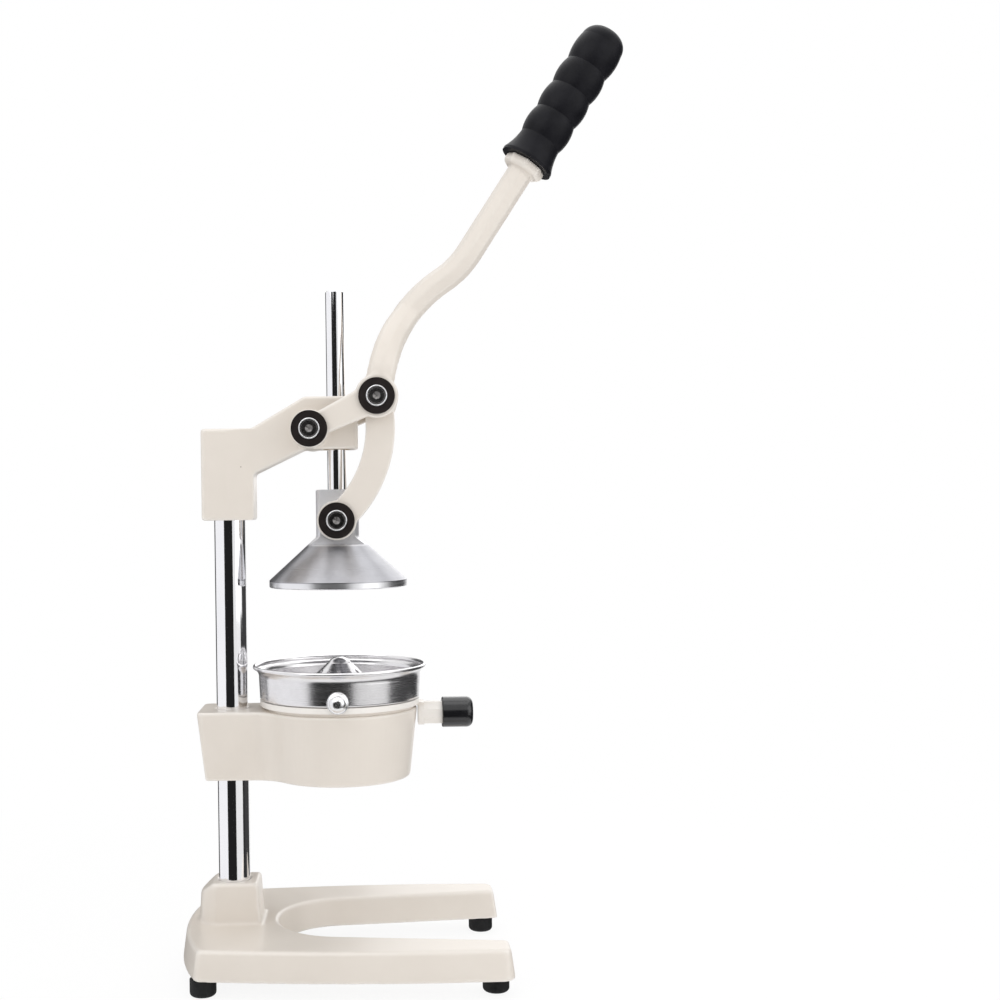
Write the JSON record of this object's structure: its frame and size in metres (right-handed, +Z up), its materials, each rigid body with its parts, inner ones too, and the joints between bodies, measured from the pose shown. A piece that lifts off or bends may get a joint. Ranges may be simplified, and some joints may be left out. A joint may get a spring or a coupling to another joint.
{
  "type": "lever citrus juice press",
  "caption": "Bench-top lever citrus press: U-shaped base, column, cup and funnel on a ring, and a linked lever that drives a cone down.",
  "frame": {"origin": "on the table under the axis of the push rod, cup and funnel, where the glass stands", "axes": "+X towards the operator and the open end of the base, +Y to the operator's right, +Z up along the push rod"},
  "size_m": [0.3049, 0.1628, 0.6325],
  "materials": {
    "cream_enamel": "satin stoved enamel over casting",
    "chrome": "polished",
    "polished_aluminium": "machined and polished",
    "stainless": "satin",
    "zinc_steel": "zinc plated",
    "black_rubber": "matte",
    "grip_rubber": "satin",
    "black_vinyl": "satin",
    "black_oxide": "satin black",
    "bronze": "machined"
  },
  "bodies": {
    "stand": {"base": "cream_enamel", "foot_front_left": "black_rubber", "foot_front_right": "black_rubber", "foot_rear_left": "black_rubber", "foot_rear_right": "black_rubber", "foot_screws": "zinc_steel", "column": "chrome", "column_washer": "zinc_steel", "column_bolt": "zinc_steel", "carrier": "cream_enamel", "carrier_set_screw": "zinc_steel", "funnel": "cream_enamel", "handle_cap": "black_vinyl", "strainer_cup": "stainless", "cup_stud": "chrome", "reamer": "stainless", "head": "cream_enamel", "head_set_screw": "zinc_steel", "guide_bush": "bronze", "pivot_pin_a": "chrome", "pivot_discs_a": "black_oxide", "pivot_rings_a": "chrome"},
    "lever_arm": {"lever": "cream_enamel", "grip": "grip_rubber", "pivot_pin_b": "chrome", "pivot_discs_b": "black_oxide", "pivot_rings_b": "chrome"},
    "press": {"push_rod": "chrome", "press_cone": "polished_aluminium", "pivot_pin_c": "chrome", "pivot_discs_c": "black_oxide", "pivot_rings_c": "chrome"},
    "links": {"link_left": "cream_enamel", "link_right": "cream_enamel"}
  },
  "joints": [
    {"name": "lever_pull", "type": "hinge", "parent": "stand", "child": "lever_arm", "pos_m": [-0.0171, 0, 0.3603], "axis": [0, 1, 0], "range_deg": [-5, 75]},
    {"name": "press_slide", "type": "slide", "parent": "stand", "child": "press", "axis": [0, 0, -1], "range_m": [-0.0042, 0.0616]},
    {"name": "link_swing", "type": "hinge", "parent": "press", "child": "links", "pos_m": [0, 0, 0.2996], "axis": [0, 1, 0], "range_deg": [-6.2, 0.5]}
  ],
  "couplings": [
    {"joint": "press_slide", "follows": "lever_pull", "m_per_rad": 0.046983},
    {"joint": "link_swing", "follows": "lever_pull", "ratio": -0.081333}
  ]
}
